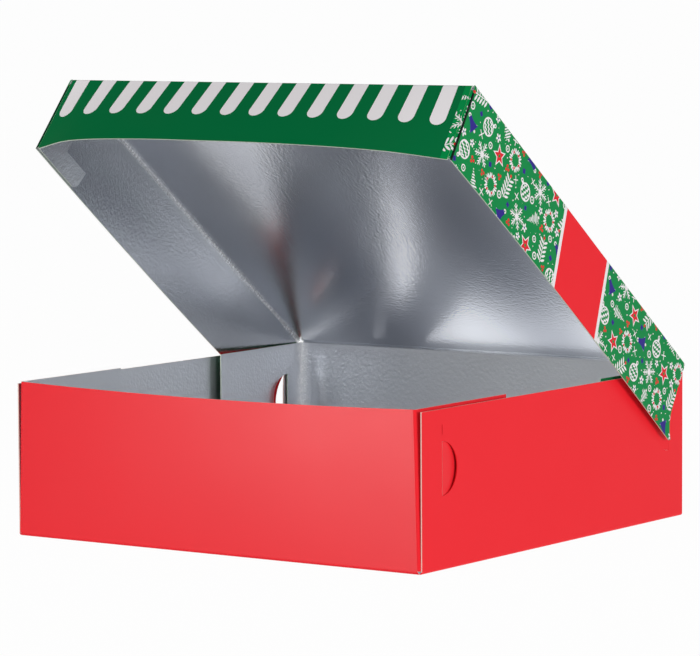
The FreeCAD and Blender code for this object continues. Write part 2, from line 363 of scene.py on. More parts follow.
def drawBauble(x, y, size):
    # a ball with zigzag belts, a cap and a loop
    ball, ballDrop, rimHalf = 0.66 * size, 0.18 * size, 0.06 * size
    zigzagPitch, beltPitch, beltWidth = 0.32 * size, 0.4 * size, 0.17 * size
    capLow, capHigh, capHalf = 0.5 * size, 0.68 * size, 0.13 * size
    loopHeight, loopRadius, loopHalf = 0.8 * size, 0.12 * size, 0.05 * size
    height = y + ballDrop
    radius = radiusOf(x, height)
    rim = abs(radius - ball) < rimHalf
    zigzag = abs((x / zigzagPitch) % 1 - 0.5) * zigzagPitch
    belt = (height + zigzag) % beltPitch < beltWidth
    cap = (abs(x) < capHalf) & between(y, capLow, capHigh)
    loop = abs(radiusOf(x, y - loopHeight) - loopRadius) < loopHalf
    return {"white": ((radius < ball) & belt) | rim | cap | loop}


def drawWreath(x, y, size):
    # a ring of leaves with berries between them
    leafOut, leafLean, leafLong, leafWide = 0.68 * size, 0.1 * size, 0.22 * size, 0.08 * size
    ringRadius, ringHalf, berry = 0.62 * size, 0.03 * size, 0.11 * size
    along, across = folded(x, y, 10)
    leaf = ellipse(along - leafOut, across - leafLean, leafLong, leafWide)
    ring = abs(radiusOf(x, y) - ringRadius) < ringHalf
    spin, side = folded(x, y, 5)
    return {"white": leaf | ring, "cherry": radiusOf(spin - ringRadius, side) < berry}


def drawBell(x, y, size):
    # a navy bell with a white band, a loop and a clapper
    top, foot, neck, flare = 0.6 * size, 0.5 * size, 0.2 * size, 0.42 * size
    bandDrop, bandHalf, bandReach = 0.36 * size, 0.06 * size, 1.06
    loopHeight, loopRadius, loopHalf = 0.7 * size, 0.13 * size, 0.05 * size
    clapperDrop, clapper = 0.62 * size, 0.12 * size
    fall = (top - y) / (top + foot)
    width = neck + flare * fall * fall
    body = (abs(x) < width) & between(y, -foot, top)
    band = (abs(x) < width * bandReach) & (abs(y + bandDrop) < bandHalf)
    loop = abs(radiusOf(x, y - loopHeight) - loopRadius) < loopHalf
    return {"navy": body, "white": band | loop | (radiusOf(x, y + clapperDrop) < clapper)}


def drawStar(x, y, size):
    # a cherry star with a white edge and a hole in its middle
    outerTip, innerTip, slope, hole = 0.92 * size, 0.7 * size, 0.42, 0.12 * size
    along, across = folded(x, y, 5)
    outer = across < (outerTip - along) * slope
    inner = across < (innerTip - along) * slope
    return {"white": outer & (1 - inner), "cherry": inner & (radiusOf(x, y) > hole)}


def drawSprig(x, y, size):
    stemHalf, leafOut, leafPitch, leafRise = 0.045 * size, 0.32 * size, 0.36 * size, 0.55
    leafLong, leafWide, leafEnd = 0.26 * size, 0.11 * size, 0.88 * size
    berryHeight, berryRadius = 0.98 * size, 0.13 * size
    stem = (abs(x) < stemHalf) & (abs(y) < size)
    leafY = (y - leafRise * abs(x)) % leafPitch - leafPitch / 2
    leaf = ellipse(abs(x) - leafOut, leafY, leafLong, leafWide) & (abs(y) < leafEnd)
    berry = radiusOf(x, y - berryHeight) < berryRadius
    return {"white": (stem | leaf) & (1 - berry), "cherry": berry}


def drawSpark(x, y, size):
    line = 0.12 * size
    along, across = folded(x, y, 4)
    return {"white": (across < line) & (along < size)}


def drawBerries(x, y, size):
    berryOut, berry = 0.5 * size, 0.36 * size
    along, across = folded(x, y, 3)
    return {"cherry": radiusOf(along - berryOut, across) < berry}


def drawRing(x, y, size):
    ring, ringHalf, dot = 0.7 * size, 0.15 * size, 0.22 * size
    radius = radiusOf(x, y)
    return {"white": (abs(radius - ring) < ringHalf) | (radius < dot)}


def drawBlossom(x, y, size):
    petalOut, petalLong, petalWide, heart = 0.6 * size, 0.4 * size, 0.27 * size, 0.2 * size
    along, across = folded(x, y, 5)
    petal = ellipse(along - petalOut, across, petalLong, petalWide)
    return {"white": petal, "navy": radiusOf(x, y) < heart}


def drawGem(x, y, size):
    reach = 0.75 * size
    return {"navy": abs(x) + abs(y) < reach}


largeMotifs = [drawSnowflake, drawFir, drawStar, drawWreath, drawSprig, drawBell, drawBauble]
smallMotifs = [drawSpark, drawBerries, drawRing, drawBlossom, drawGem]


def scatter(paint, u, v, motifs, size, shift, step):
    # Draws the motifs in the cells of a staggered lattice, each turned and moved a little at random.
    # Returns the drawn masks and how far each point is from its cell's motif.
    cell, rowHeight = lidPrint["cell"], lidPrint["cell"] * lidPrint["rowShare"]
    row = (v / rowHeight + shift[1]).maths("FLOOR")
    stagger = 0.5 * (row % 2)
    column = (u / cell + shift[0] + stagger).maths("FLOOR")
    chance = paint.node(
        "ShaderNodeTexWhiteNoise", {"noise_dimensions": "2D"},
        {"Vector": paint.vector(column + lidPrint["chanceStride"] * step, row)}, output="Color",
    )
    moveU, moveV, spin = paint.parts(chance)
    across = u + cell * (shift[0] - 0.5 + stagger - column) + lidPrint["wander"] * (moveU - 0.5)
    up = v + rowHeight * (shift[1] - 0.5 - row) + lidPrint["wander"] * (moveV - 0.5)
    turn = spin * (2 * math.pi)
    cosine, sine = turn.maths("COSINE"), turn.maths("SINE")
    x, y = across * cosine + up * sine, up * cosine - across * sine
    kind = (column + step * row) % len(motifs)
    drawn = {}
    for index, draw in enumerate(motifs):
        chosen = abs(kind - index) < 0.5
        for ink, mask in draw(x, y, size).items():
            part = mask & chosen
            drawn[ink] = drawn[ink] | part if ink in drawn else part
    return drawn, radiusOf(across, up)


def drawPattern(paint, u, v):
    # three lattices of motifs on green, with dots where there is room
    large, nearLarge = scatter(paint, u, v, largeMotifs, lidPrint["large"], lidPrint["largeShift"], 2)
    small, nearSmall = scatter(paint, u, v, smallMotifs, lidPrint["small"], lidPrint["smallShift"], 3)
    tiny, nearTiny = scatter(paint, u, v, smallMotifs[::-1], lidPrint["tiny"], lidPrint["tinyShift"], 1)
    clear = lidPrint["smallClear"]
    free = (nearLarge > lidPrint["largeClear"]) & (nearSmall > clear) & (nearTiny > clear)
    pitch = lidPrint["dotPitch"]
    dotU = (u + v * lidPrint["dotLean"]) % pitch - pitch / 2
    dotV = (v * lidPrint["dotRise"] - u * lidPrint["dotDrift"]) % pitch - pitch / 2
    dots = (radiusOf(dotU, dotV) < lidPrint["dotRadius"]) & free
    tone = paint.mix(dots, inks["leaf"], inks["white"])
    for drawn in (tiny, small, large):
        for ink, mask in drawn.items():
            tone = paint.mix(mask, tone, inks[ink])
    return tone


def drawRibbon(paint, u, v, tone):
    # a red ribbon with white borders, slanted across the lid
    middle = lidPrint["ribbonMiddle"] + (u - lidPanelHalf / mm) * lidPrint["ribbonSlope"]
    offRibbon = abs(v - middle)
    tone = paint.mix(offRibbon < lidPrint["ribbonHalf"] + lidPrint["ribbonBorder"], tone, inks["white"])
    return paint.mix(offRibbon < lidPrint["ribbonHalf"], tone, inks["red"])


def drawFront(paint, u, v, tone):
    # plain green on the front flange and a margin of the lid, with round-ended stripes over the crease
    crease = panelLow.y / mm
    front = (v < crease + lidPrint["frontMargin"]) & (u < frontFlangeHalf / mm - lidPrint["bleed"])
    front = front & ((u > -lidPanelHalf / mm) | (v < crease - lidPrint["bleed"]))
    tone = paint.mix(front, tone, inks["green"])
    number = ((u - lidPrint["stripeFirst"]) / lidPrint["stripePitch"]).maths("ROUND")
    number = (number | 0) & (lidPrint["stripeCount"] - 1)
    half = lidPrint["stripeWidth"] / 2
    stripeHalf = (lidPrint["stripeDrop"] + lidPrint["stripeTop"]) / 2
    stripeMiddle = crease + lidPrint["stripeTop"] - stripeHalf
    pastEnd = (abs(v - stripeMiddle) - (stripeHalf - half)) | 0
    stripe = radiusOf(u - lidPrint["stripeFirst"] - number * lidPrint["stripePitch"], pastEnd) < half
    return paint.mix(stripe & front, tone, inks["white"])


def drawSeams(paint, u, v, tone):
    # painted shadow along the front ends of the side flanges, where they stand off the corner flaps behind
    # them
    low = sideFlangeLow.y / mm
    seamShadow = between(v, low - lidPrint["seamBleed"], low + lidPrint["seamWidth"])
    seamShadow = seamShadow & (abs(u) > lidPanelHalf / mm + lidPrint["seamStart"])
    return paint.mix(seamShadow, tone, inks["shade"])


def makeLidPrint():
    paint = newPaint("lid_print")
    u, v = paint.blank()
    tone = drawPattern(paint, u, v)
    for draw in (drawRibbon, drawFront, drawSeams):
        tone = draw(paint, u, v, tone)
    return finishPrint(paint, tone, lidPrint["specular"])


# Foil is dimpled all over, and its tone drifts from side to side in painted reflections, lighter and darker
# bands: one long band in the tray, and several in the lid. It is crumpled, cracked and paler where the board
# is folded; the paleness is partly cracked foil and partly a painted highlight along the fold.
foil = {
    "foldLeast": 0.6,
    "foldScale": 800.0,
    "foldMiddle": 0.45,
    "foldGain": 3,
    "bandWander": 0.8,
    "bandScale": 12.0,
    "dimpleScale": 640.0,
    "haze": 0.08,
    "hazeScale": 30.0,
    # the pale colour of the folds: partly cracked foil, partly a painted highlight along the fold
    "cracked": srgb(252, 253, 255),
}
# dark and light are the two ends of the painted reflection bands
trayFoilLook = {
    "dark": srgb(216, 219, 225),
    "light": srgb(252, 254, 255),
    "bandPitch": 480 * mm,
    "bandMiddle": 120 * mm,
    "metal": 0.765,
    "roughness": 0.33,
    "dimple": 0.11 * mm,
    "crumple": 0.35 * mm,
    "crackle": 1.8,
    "foldPower": 1.5,
}
lidFoilLook = {
    "dark": srgb(188, 191, 199),
    "light": srgb(246, 248, 252),
    "bandPitch": 105 * mm,
    "bandMiddle": 0.0,
    "metal": 0.985,
    "roughness": 0.22,
    "dimple": 0.09 * mm,
    "crumple": 0.05 * mm,
    "crackle": 0.6,
    "foldPower": 5.0,
}
# the foil of the lid's side flanges is painted a shade darker: painted shade on the same foil as the lid's
shadedSideFoilLook = dict(lidFoilLook, dark=srgb(168, 171, 180), light=srgb(222, 225, 231))


def makeFoil(name, look):
    paint = newPaint(name)
    crease = paint.node("ShaderNodeAttribute", {"attribute_name": "crease"}, output="Fac")
    # where folded the foil is paler, partly as cracked foil and partly as a painted highlight
    crumple = (paint.noise(foil["foldScale"], detail=3.0) - foil["foldMiddle"]) * foil["foldGain"] | 0
    folds = (foil["foldLeast"] + crumple) * crease.maths("POWER", look["foldPower"])
    # painted reflections: lighter and darker bands laid across the foil's base colour
    across = paint.parts(paint.coordinates())[0] - look["bandMiddle"]
    wander = foil["bandWander"] * (paint.noise(foil["bandScale"]) - 0.5)
    paintedReflections = (across * (2 * math.pi / look["bandPitch"]) + wander).maths("COSINE")
    tone = paint.mix(paintedReflections * 0.5 + 0.5, look["dark"], look["light"])
    dimples = paint.bump(paint.noise(foil["dimpleScale"], detail=1.0), look["dimple"])
    paint.set(
        Base_Color=paint.mix(folds & 1, tone, foil["cracked"]),
        Metallic=look["metal"] - look["crackle"] * folds | 0,
        Roughness=look["roughness"] + foil["haze"] * (paint.noise(foil["hazeScale"]) - 0.5),
        Normal=paint.bump(folds, look["crumple"], normal=dimples),
    )
    return paint.owner


edgeLook = {"roughness": 0.9, "fibre": 0.05 * mm, "fibreStrength": 0.4, "fibreScale": 1500.0}


def makeCutEdge(name, dark, pale):
    # bare board, with some of the print's colour at its edge
    paint = newPaint(name)
    fibre = paint.noise(edgeLook["fibreScale"], roughness=0.6)
    paint.set(
        Base_Color=paint.mix(fibre, dark, pale),
        Roughness=edgeLook["roughness"],
        Normal=paint.bump(fibre, edgeLook["fibre"], edgeLook["fibreStrength"]),
    )
    return paint.owner


redPrint = makePlainPrint("red_print", "red", specular=0.1)
greenPrint = makePlainPrint("green_print", "green", specular=0.12)
lidPaint = makeLidPrint()
trayFoil = makeFoil("tray_foil", trayFoilLook)
lidFoil = makeFoil("lid_foil", lidFoilLook)
shadedSideFoil = makeFoil("side_foil", shadedSideFoilLook)
redEdge = makeCutEdge("red_cut_edge", srgb(226, 178, 166), srgb(250, 222, 212))
greenEdge = makeCutEdge("green_cut_edge", srgb(192, 206, 190), srgb(228, 234, 220))
finishes = {
    "red_board": (redPrint, trayFoil, redEdge),
    "green_board": (greenPrint, trayFoil, greenEdge),
    "striped_board": (lidPaint, lidFoil, greenEdge),
    "patterned_board": (lidPaint, lidFoil, greenEdge),
}
print("materials made")


# The board is cut flat, given its thickness and then folded. A blank lies in its own u and v, with its
# outer face at depth 0 and its foil face at depth "thickness".

def arcPoints(middle, radius, start, end, steps=board["arcSteps"]):
    turns = [math.radians(start + (end - start) * step / steps) for step in range(steps + 1)]
    return [(middle[0] + radius * math.cos(turn), middle[1] + radius * math.sin(turn)) for turn in turns]


def boxPoints(lowU, lowV, highU, highV):
    return [(lowU, lowV), (highU, lowV), (highU, highV), (lowU, highV)]


def evenCuts(low, high, pitch=board["cellPitch"]):
    count = max(1, round((high - low) / pitch))
    return [low + (high - low) * step / count for step in range(1, count)]


def foldCuts():
    # lines close enough to round off the fold at the start of a piece, and one just past it
    steps = board["foldSteps"]
    return [foldLength * step / steps for step in range(1, steps + 1)] + [foldLength + board["foldGuard"]]


def riseCuts(end):
    return foldCuts() + evenCuts(foldLength + board["foldGuard"], end)


def cutBlank(outline, holes, cutsU, cutsV):
    bm = bmesh.new()
    edges = []
    for loop in [outline, *holes]:
        corners = [bm.verts.new((u, v, 0)) for u, v in loop]
        edges += [bm.edges.new((corners[index - 1], corner)) for index, corner in enumerate(corners)]
    bmesh.ops.triangle_fill(bm, use_beauty=True, edges=edges, normal=(0, 0, 1))
    for across, cuts in ((Vector((1, 0, 0)), cutsU), (Vector((0, 1, 0)), cutsV)):
        for place in cuts:
            everything = bm.verts[:] + bm.edges[:] + bm.faces[:]
            bmesh.ops.bisect_plane(
                bm, geom=everything, dist=board["cutTolerance"], plane_co=across * place, plane_no=across
            )
    raised = bmesh.ops.extrude_face_region(bm, geom=bm.faces[:], use_keep_orig=True)["geom"]
    raisedVerts = [part for part in raised if isinstance(part, bmesh.types.BMVert)]
    bmesh.ops.translate(bm, verts=raisedVerts, vec=(0, 0, thickness))
    bmesh.ops.recalc_face_normals(bm, faces=bm.faces[:])
    return bm


def ownPlace(u, v):
    return u, v


def foldBlank(
    name, body, node, slot, outline, place, holes=(), cutsU=(), cutsV=(), onSheet=ownPlace,
    foldAxis=1, inked=None, creasedEnds=False,
):
    # Cuts a piece and folds it with place(u, v, depth). Its print follows the map "blank", in metres, and
    # its fold, which lies across u or v, is marked for the foil, with its two ends where flaps are folded
    # from them. Where inked, a cut face has the print too. It rides with the node that it replaces, if any.
    bm = cutBlank(outline, holes, cutsU, cutsV)
    blank = bm.loops.layers.uv.new("blank")
    crease = bm.verts.layers.float.new("crease")
    for face in bm.faces:
        flat = abs(face.normal.z) > 0.5
        middle = face.calc_center_median()
        cutPaint = 0 if inked and inked(middle.x, middle.y) else 2
        face.material_index = (0 if face.normal.z < 0 else 1) if flat else cutPaint
        face.smooth = flat
        for loop in face.loops:
            loop[blank].uv = onSheet(loop.vert.co.x, loop.vert.co.y)
    for vertex in bm.verts:
        folds = foldAxis is not None and vertex.co[foldAxis] < foldLength + board["foldReach"]
        atEnd = creasedEnds and abs(vertex.co.x) > endWallHalf - board["endBand"]
        vertex[crease] = 1.0 if folds or atEnd else 0.0
    for edge in bm.edges:
        edge.smooth = len({face.material_index for face in edge.link_faces}) == 1
    for vertex in bm.verts:
        vertex.co = place(*vertex.co)
    bmesh.ops.recalc_face_normals(bm, faces=bm.faces[:])
    piece = addPiece(name, bm, finishes[slot])
    if node:
        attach(piece, body)
        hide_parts(node)
    return piece


def addPiece(name, bm, paints):
    mesh = bpy.data.meshes.new(name)
    bm.to_mesh(mesh)
    bm.free()
    for paint in paints:
        mesh.materials.append(paint)
    piece = bpy.data.objects.new(name, mesh)
    bpy.context.scene.collection.objects.link(piece)
    return piece


def quarterTurn(run, depth):
    # a point of a sheet that leaves a flat, turns a quarter circle and runs on:
    # how far it is past the start of the turn, and how far from the flat's outer face
    if run <= 0:
        return run, depth
    if run < foldLength:
        angle = run / foldRadius
        reach = foldRadius - depth
        return reach * math.sin(angle), foldRadius - reach * math.cos(angle)
    return foldRadius - depth, foldRadius + run - foldLength


def riseShare(level, top):
    # how far up a wall a level is, from 0 where its fold ends to 1 at its top
    return max(0.0, (level - foldRadius) / (top - foldRadius))


def inFold(u, v):
    return v < foldLength


def waves(u, v, seed, pitch):
    return noise.noise(Vector((u / pitch, v / pitch, seed)))


def bell(share):
    # 1 in the middle of -1 to 1, falling smoothly to 0 at both ends
    return max(0.0, 1 - share * share) ** 2


# The tray

def makeBase():
    def place(u, v, depth):
        return Vector((u, v, depth))

    foldBlank(
        "base", "tray", "base_panel", "red_board",
        boxPoints(-baseHalfWidth, -baseHalfDepth, baseHalfWidth, baseHalfDepth), place,
        cutsU=evenCuts(-baseHalfWidth, baseHalfWidth), cutsV=evenCuts(-baseHalfDepth, baseHalfDepth),
        foldAxis=None,
    )


def makeFrontWall():
    look = {"dip": 1.6 * mm, "topSteps": 40, "ripple": 0.25 * mm, "wavePitch": 60 * mm, "seed": 3.1}
    bow = -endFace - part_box("front_wall")[0].y

    def place(u, v, depth):
        out, up = quarterTurn(v, depth)
        share = riseShare(up, trayHeight)
        across = u / endWallHalf
        out += bow * (1 - across**2) * share
        envelope = bell(across) * bell(2 * share - 1)
        out += look["ripple"] * waves(u, v, look["seed"], look["wavePitch"]) * envelope
        return Vector((u - across * board["cornerGap"] * share, -(endFace - foldRadius + out), up))

    tops = [endWallHalf * (1 - 2 * step / look["topSteps"]) for step in range(look["topSteps"] + 1)]
    outline = [(-endWallHalf, 0), (endWallHalf, 0)]
    outline += [(u, wallRun + trayHeight - look["dip"] * (1 - (u / endWallHalf) ** 2)) for u in tops]
    foldBlank(
        "front_wall_board", "tray", "front_wall", "red_board", outline, place,
        cutsU=evenCuts(-endWallHalf, endWallHalf), cutsV=riseCuts(trayHeight), inked=inFold,
    )


def makeBackWall():
    # handled boxes have a soft dent beside each back corner
    look = {
        "ripple": 0.4 * mm,
        "wavePitch": 26 * mm,
        "waveStretch": 0.3,
        "seed": 7.7,
        "dent": 1.2 * mm,
        "dentMiddle": 107 * mm,
        "dentHalf": 6 * mm,
        "dentPitch": 1.2 * mm,
        "dentShare": 0.6,
        "dentRise": 0.35,
    }

    def place(u, v, depth):
        out, up = quarterTurn(v, depth)
        share = riseShare(up, trayHeight)
        envelope = bell(u / endWallHalf) * bell(2 * share - 1)
        out += look["ripple"] * waves(u, v * look["waveStretch"], look["seed"], look["wavePitch"]) * envelope
        dent = bell((abs(u) - look["dentMiddle"]) / look["dentHalf"])
        out -= look["dent"] * dent * bell((share - look["dentShare"]) / look["dentRise"])
        return Vector((u, endFace - foldRadius + out, up))

    middle, half = look["dentMiddle"], look["dentHalf"]
    dentCuts = evenCuts(middle - half, middle + half, look["dentPitch"])
    foldBlank(
        "back_wall_board", "tray", "back_wall", "green_board",
        boxPoints(-endWallHalf, 0, endWallHalf, wallRun + trayHeight), place,
        cutsU=evenCuts(-endWallHalf, endWallHalf) + dentCuts + [-cut for cut in dentCuts],
        cutsV=riseCuts(trayHeight), creasedEnds=True,
    )


# The half-moon locks. Each joint gives the middle of its lock's crease.
lock = {
    "radius": 12.6 * mm,
    "windowPlay": 0.8 * mm,
    "windowRim": 0.5 * mm,
    "slitWidth": 0.4 * mm,
    "slitLength": 4.6 * mm,
    "slitGap": 3.3 * mm,
}
corners = [("front_left", -1, -1), ("front_right", 1, -1), ("back_left", -1, 1), ("back_right", 1, 1)]
creases = {
    joint["name"].replace("_crease", ""): joint for joint in frame["joints"] if "_crease" in joint["name"]
}


def halfMoon(chord, level, radius, towards, back=0.0):
    # a half disc in (along, up), standing on its chord and bulging towards + or -
    points = arcPoints((0, 0), radius, -90, 90)
    moon = [(chord + towards * across, level + up) for across, up in points]
    if back:
        moon += [(chord - towards * back, level + radius), (chord - towards * back, level - radius)]
    return moon


def makeSideWall(hand, side):
    look = {"ripple": 0.2 * mm, "wavePitch": 45 * mm, "seed": 5.0, "bareRim": 1 * mm}

    def place(u, v, depth):
        out, up = quarterTurn(v, depth)
        envelope = bell(u / sideWallHalf) * bell(2 * riseShare(up, sideWallHeight) - 1)
        out += look["ripple"] * waves(u, v, look["seed"] + side, look["wavePitch"]) * envelope
        return Vector((side * (sideFace - foldRadius + out), u, up))

    def inked(u, v):
        # the fold's ends, and the edges of the windows, where the tongues drag the print inwards
        return inFold(u, v) or (abs(u) < sideWallHalf - look["bareRim"] and v < sideWallHeight)

    holes = []
    for name, cornerSide, end in corners:
        if cornerSide != side:
            continue
        chord, level = creases[name]["pos_m"][1], creases[name]["pos_m"][2] + wallRun
        holes.append(halfMoon(chord, level, lock["radius"] + board["kerf"], -end, board["kerf"]))
        slitLow = level + lock["radius"] + lock["slitGap"]
        half = lock["slitWidth"] / 2
        holes.append(boxPoints(chord - half, slitLow, chord + half, slitLow + lock["slitLength"]))
    foldBlank(
        hand + "_wall_board", "tray", hand + "_wall", "red_board",
        boxPoints(-sideWallHalf, 0, sideWallHalf, wallRun + sideWallHeight), place,
        holes, evenCuts(-sideWallHalf, sideWallHalf), riseCuts(sideWallHeight), inked=inked,
    )


def makeFlap(name, side, end):
    look = {"corner": 3 * mm, "ripple": 0.15 * mm, "wavePitch": 30 * mm, "seed": 9.0}
    node = name + "_flap"
    low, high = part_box(node)
    reach = endFace - low.y if end > 0 else high.y + endFace
    gape = board["cornerGap"] if end < 0 else 0.0
    freeFace = min(abs(low.x), abs(high.x))
    standOff = flapFace - gape - thickness - freeFace
    length = reach + wallRun

    def place(u, v, depth):
        out, along = quarterTurn(u, depth)
        share = riseShare(along, reach)
        out -= standOff * share + gape * riseShare(v, trayHeight)
        sway = 0.5 + waves(u, v, look["seed"] + side + 3 * end, look["wavePitch"])
        out -= look["ripple"] * sway * bell(2 * share - 1)
        return Vector((side * (flapFace - foldRadius + out), end * (endFace - along), v))

    corner = look["corner"]
    rounded = arcPoints((length - corner, low.z + corner), corner, -90, 0, board["cornerSteps"])
    outline = [(0, low.z), *rounded, (length, high.z), (0, high.z)]
    chord = endFace - abs(creases[name]["pos_m"][1]) + wallRun
    level = creases[name]["pos_m"][2]
    window = halfMoon(chord, level, lock["radius"] + lock["windowRim"], 1, lock["windowPlay"])
    foldBlank(
        node + "_board", "tray", node, "green_board" if end > 0 else "red_board",
        outline, place, [window], riseCuts(length), evenCuts(low.z, high.z), foldAxis=0,
    )


def makeLock(name, side, end):
    crease = Vector(creases[name]["pos_m"])
    rest = math.radians(-creases[name]["range_deg"][0])
    turn = Matrix.Rotation(rest, 4, Vector(creases[name]["axis"]))

    def place(u, v, depth):
        return crease + turn @ Vector((side * (thickness - depth), u, v))

    cuts = evenCuts(-lock["radius"], lock["radius"])
    foldBlank(
        name + "_lock_board", name + "_lock", name + "_lock", "red_board",
        halfMoon(0, 0, lock["radius"], -end), place, cutsU=cuts, cutsV=cuts, foldAxis=None,
    )


makeBase()
makeFrontWall()
makeBackWall()
for hand, side in (("left", -1), ("right", 1)):
    makeSideWall(hand, side)
for name, side, end in corners:
    makeFlap(name, side, end)
    makeLock(name, side, end)
print("tray made")


# The lid, made shut and then opened to rest

def makeLidPanel():
    look = {"ripple": 0.45 * mm, "wavePitch": 70 * mm, "seed": 1.3}
    middleV = (panelLow.y + panelHigh.y) / 2
    halfV = (panelHigh.y - panelLow.y) / 2

    def place(u, v, depth):
        envelope = bell(u / lidPanelHalf) * bell((v - middleV) / halfV)
        lift = look["ripple"] * waves(u, v, look["seed"], look["wavePitch"]) * envelope
        return openLid @ Vector((u, v, lidTop - depth + lift))

    foldBlank(
        "lid_panel_board", "lid", "lid_panel", "patterned_board",
        boxPoints(-lidPanelHalf, panelLow.y, lidPanelHalf, panelHigh.y), place,
        cutsU=evenCuts(-lidPanelHalf, lidPanelHalf), cutsV=evenCuts(panelLow.y, panelHigh.y),
        foldAxis=None,
    )


def smoothCurve(shares):
    # a smooth line through (place, height) shares, each slope taken from the two neighbours
    def slope(index):
        low, high = max(index - 1, 0), min(index + 1, len(shares) - 1)
        return (shares[high][1] - shares[low][1]) / (shares[high][0] - shares[low][0])

    def heightAt(place):
        index = max(step for step in range(len(shares) - 1) if place >= shares[step][0] or step == 0)
        start, end = shares[index], shares[index + 1]
        span = end[0] - start[0]
        t = min(max((place - start[0]) / span, 0.0), 1.0)
        level = start[1] + (end[1] - start[1]) * t * t * (3 - 2 * t)
        return level + span * t * (1 - t) * (slope(index) * (1 - t) - slope(index + 1) * t)

    return heightAt


def makeFrontFlange():
    look = {
        "bow": 10.8 * mm,
        "edgeShares": [(-1, 0), (-0.8, 0.72), (-0.45, 0.98), (0, 0.97), (0.35, 0.85), (0.73, 0.53), (1, 0)],
        "ripple": 0.2 * mm,
        "wavePitch": 40 * mm,
        "seed": 2.9,
    }
    bowAt = smoothCurve(look["edgeShares"])

    def place(u, v, depth):
        out, down = quarterTurn(v, depth)
        share = riseShare(down, flangeHeight)
        across = u / frontFlangeHalf
        out += look["bow"] * bowAt(across) * share
        out += look["ripple"] * waves(u, v, look["seed"], look["wavePitch"]) * bell(across) * share
        return openLid @ Vector((u + across * flangeLean * share, lidFront + foldRadius - out, lidTop - down))

    def onSheet(u, v):
        return u, panelLow.y - v

    foldBlank(
        "lid_front_flange_board", "lid", "lid_front_flange", "striped_board",
        boxPoints(-frontFlangeHalf, 0, frontFlangeHalf, flangeRun), place, (),
        evenCuts(-frontFlangeHalf, frontFlangeHalf), riseCuts(flangeRun), onSheet,
    )


def flangeOut(u, down):
    # how far a side flange has come out of the lid's side, at a place along it and below the lid's top
    middle, half = (sideFlangeLow.y + sideFlangeHigh.y) / 2, (sideFlangeHigh.y - sideFlangeLow.y) / 2
    along = (u - middle) / half
    return (flangeLean + flangeBow * (1 - along * along)) * riseShare(down, flangeHeight)


# The side flanges: their rear ends flare out below the hinge, and each has an L-shaped slit for a hook.
sideFlange = {
    "rearEdgeHeight": 26 * mm,
    "rearSetback": 0.6 * mm,
    "flareHeight": 40.8 * mm,
    "flareSteps": 10,
    "tipRound": 1.6 * mm,
    "tipSteps": 5,
    "slitStart": 28.1 * mm,
    "slitLength": 4.2 * mm,
    "slitRise": 2.2 * mm,
    "slitDrop": 32.8 * mm,
    "ripple": 0.2 * mm,
    "wavePitch": 40 * mm,
    "seed": 4.0,
}


def sideFlangeOutline():
    # the flare is an arc that leaves the straight rear edge smoothly
    front, rear = sideFlangeLow.y, sideFlangeHigh.y
    rearEdge = hinge.y - sideFlange["rearSetback"]
    flare, drop = rear - rearEdge, sideFlange["flareHeight"] - sideFlange["rearEdgeHeight"]
    radius = flare / 2 + drop * drop / (flare * 2)
    flareEnd = 180 - math.degrees(math.asin(drop / radius))
    middle = (rearEdge + radius, wallRun + sideFlange["rearEdgeHeight"])
    tip = sideFlange["tipRound"]
    tipMiddle = (rear - tip, flangeRun - tip)
    tipStart = math.degrees(math.asin(1 - (flangeHeight - sideFlange["flareHeight"]) / tip))
    outline = [(rearEdge, 0), (front, 0), (front, flangeRun), (rear - tip, flangeRun)]
    outline += arcPoints(tipMiddle, tip, 90, tipStart, sideFlange["tipSteps"])[1:]
    return outline + arcPoints(middle, radius, flareEnd, 180, sideFlange["flareSteps"])[1:]


def hookSlit():
    start, level = sideFlange["slitStart"] + lidFront, wallRun + sideFlange["slitDrop"]
    end, peak = start + sideFlange["slitLength"], level - sideFlange["slitRise"]
    width = lock["slitWidth"]
    slit = [(start, level), (end, level), (end, level - width)]
    return slit + [(start + width, level - width), (start + width, peak), (start, peak)]


def makeSideFlange(hand, side):
    front, rear = sideFlangeLow.y, sideFlangeHigh.y
    middle, half = (front + rear) / 2, (rear - front) / 2

    def place(u, v, depth):
        out, down = quarterTurn(v, depth)
        envelope = bell((u - middle) / half) * riseShare(down, flangeHeight)
        ripple = abs(waves(u, v, sideFlange["seed"] + side, sideFlange["wavePitch"]))
        out += flangeOut(u, down) - sideFlange["ripple"] * ripple * envelope
        return openLid @ Vector((side * (lidPanelHalf + out), u, lidTop - down))

    def onSheet(u, v):
        return side * (lidPanelHalf + v), u

    # the front cut face takes the print, so the painted shadow at the flange's front end covers it too
    flange = foldBlank(
        f"lid_{hand}_flange_board", "lid", f"lid_{hand}_flange", "patterned_board",
        sideFlangeOutline(), place, [hookSlit()], evenCuts(front, rear), riseCuts(flangeRun), onSheet,
        inked=lambda u, v: u < front + thickness,
    )
    # the darker foil on the flange is painted shade
    flange.data.materials[1] = shadedSideFoil


